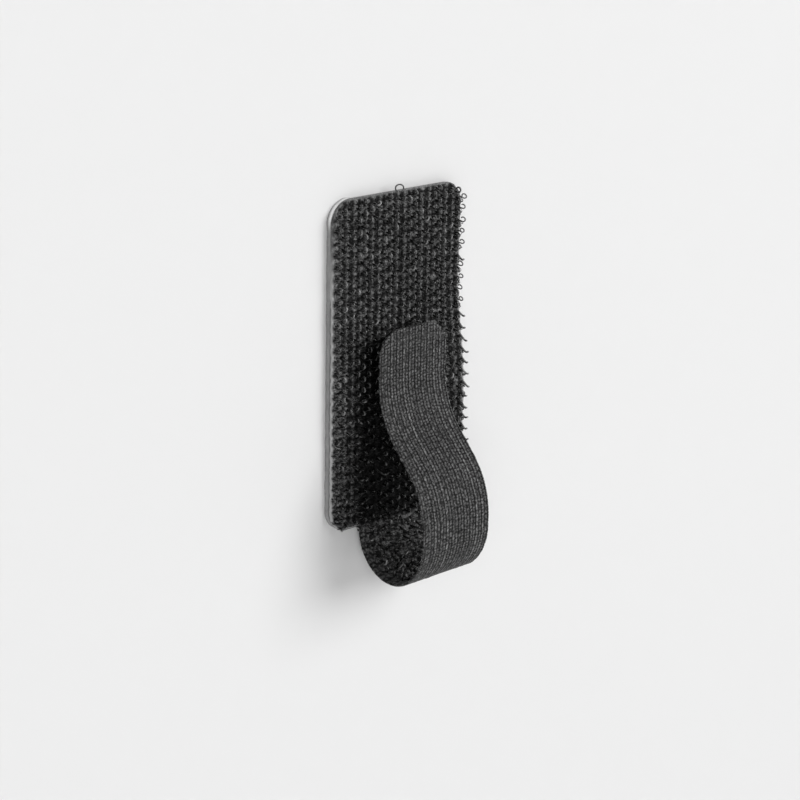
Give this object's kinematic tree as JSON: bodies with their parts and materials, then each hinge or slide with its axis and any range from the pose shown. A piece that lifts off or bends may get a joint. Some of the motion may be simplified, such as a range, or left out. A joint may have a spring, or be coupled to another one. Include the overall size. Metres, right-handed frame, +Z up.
{
  "type": "adhesive cable holder",
  "caption": "Wall-mounted cable holder cut from self-gripping tape: an adhesive-backed pad whose narrower strap loops round cables and presses back onto the pad.",
  "frame": {"origin": "centre of the adhesive face behind the pad", "axes": "+Y into the wall, so the holder stands off the wall towards -Y; +X to the right seen from the front; +Z up, with the strap's loop at the lower end"},
  "size_m": [0.025, 0.0152, 0.0574],
  "materials": {
    "adhesive": "clear pale acrylic adhesive, cut edge slightly glossy",
    "grip_tape": "black woven nylon, ribbed matt back, hooks and loops on the face"
  },
  "bodies": {
    "root": {"adhesive_pad": "adhesive", "grip_strap": "grip_tape"}
  },
  "joints": []
}
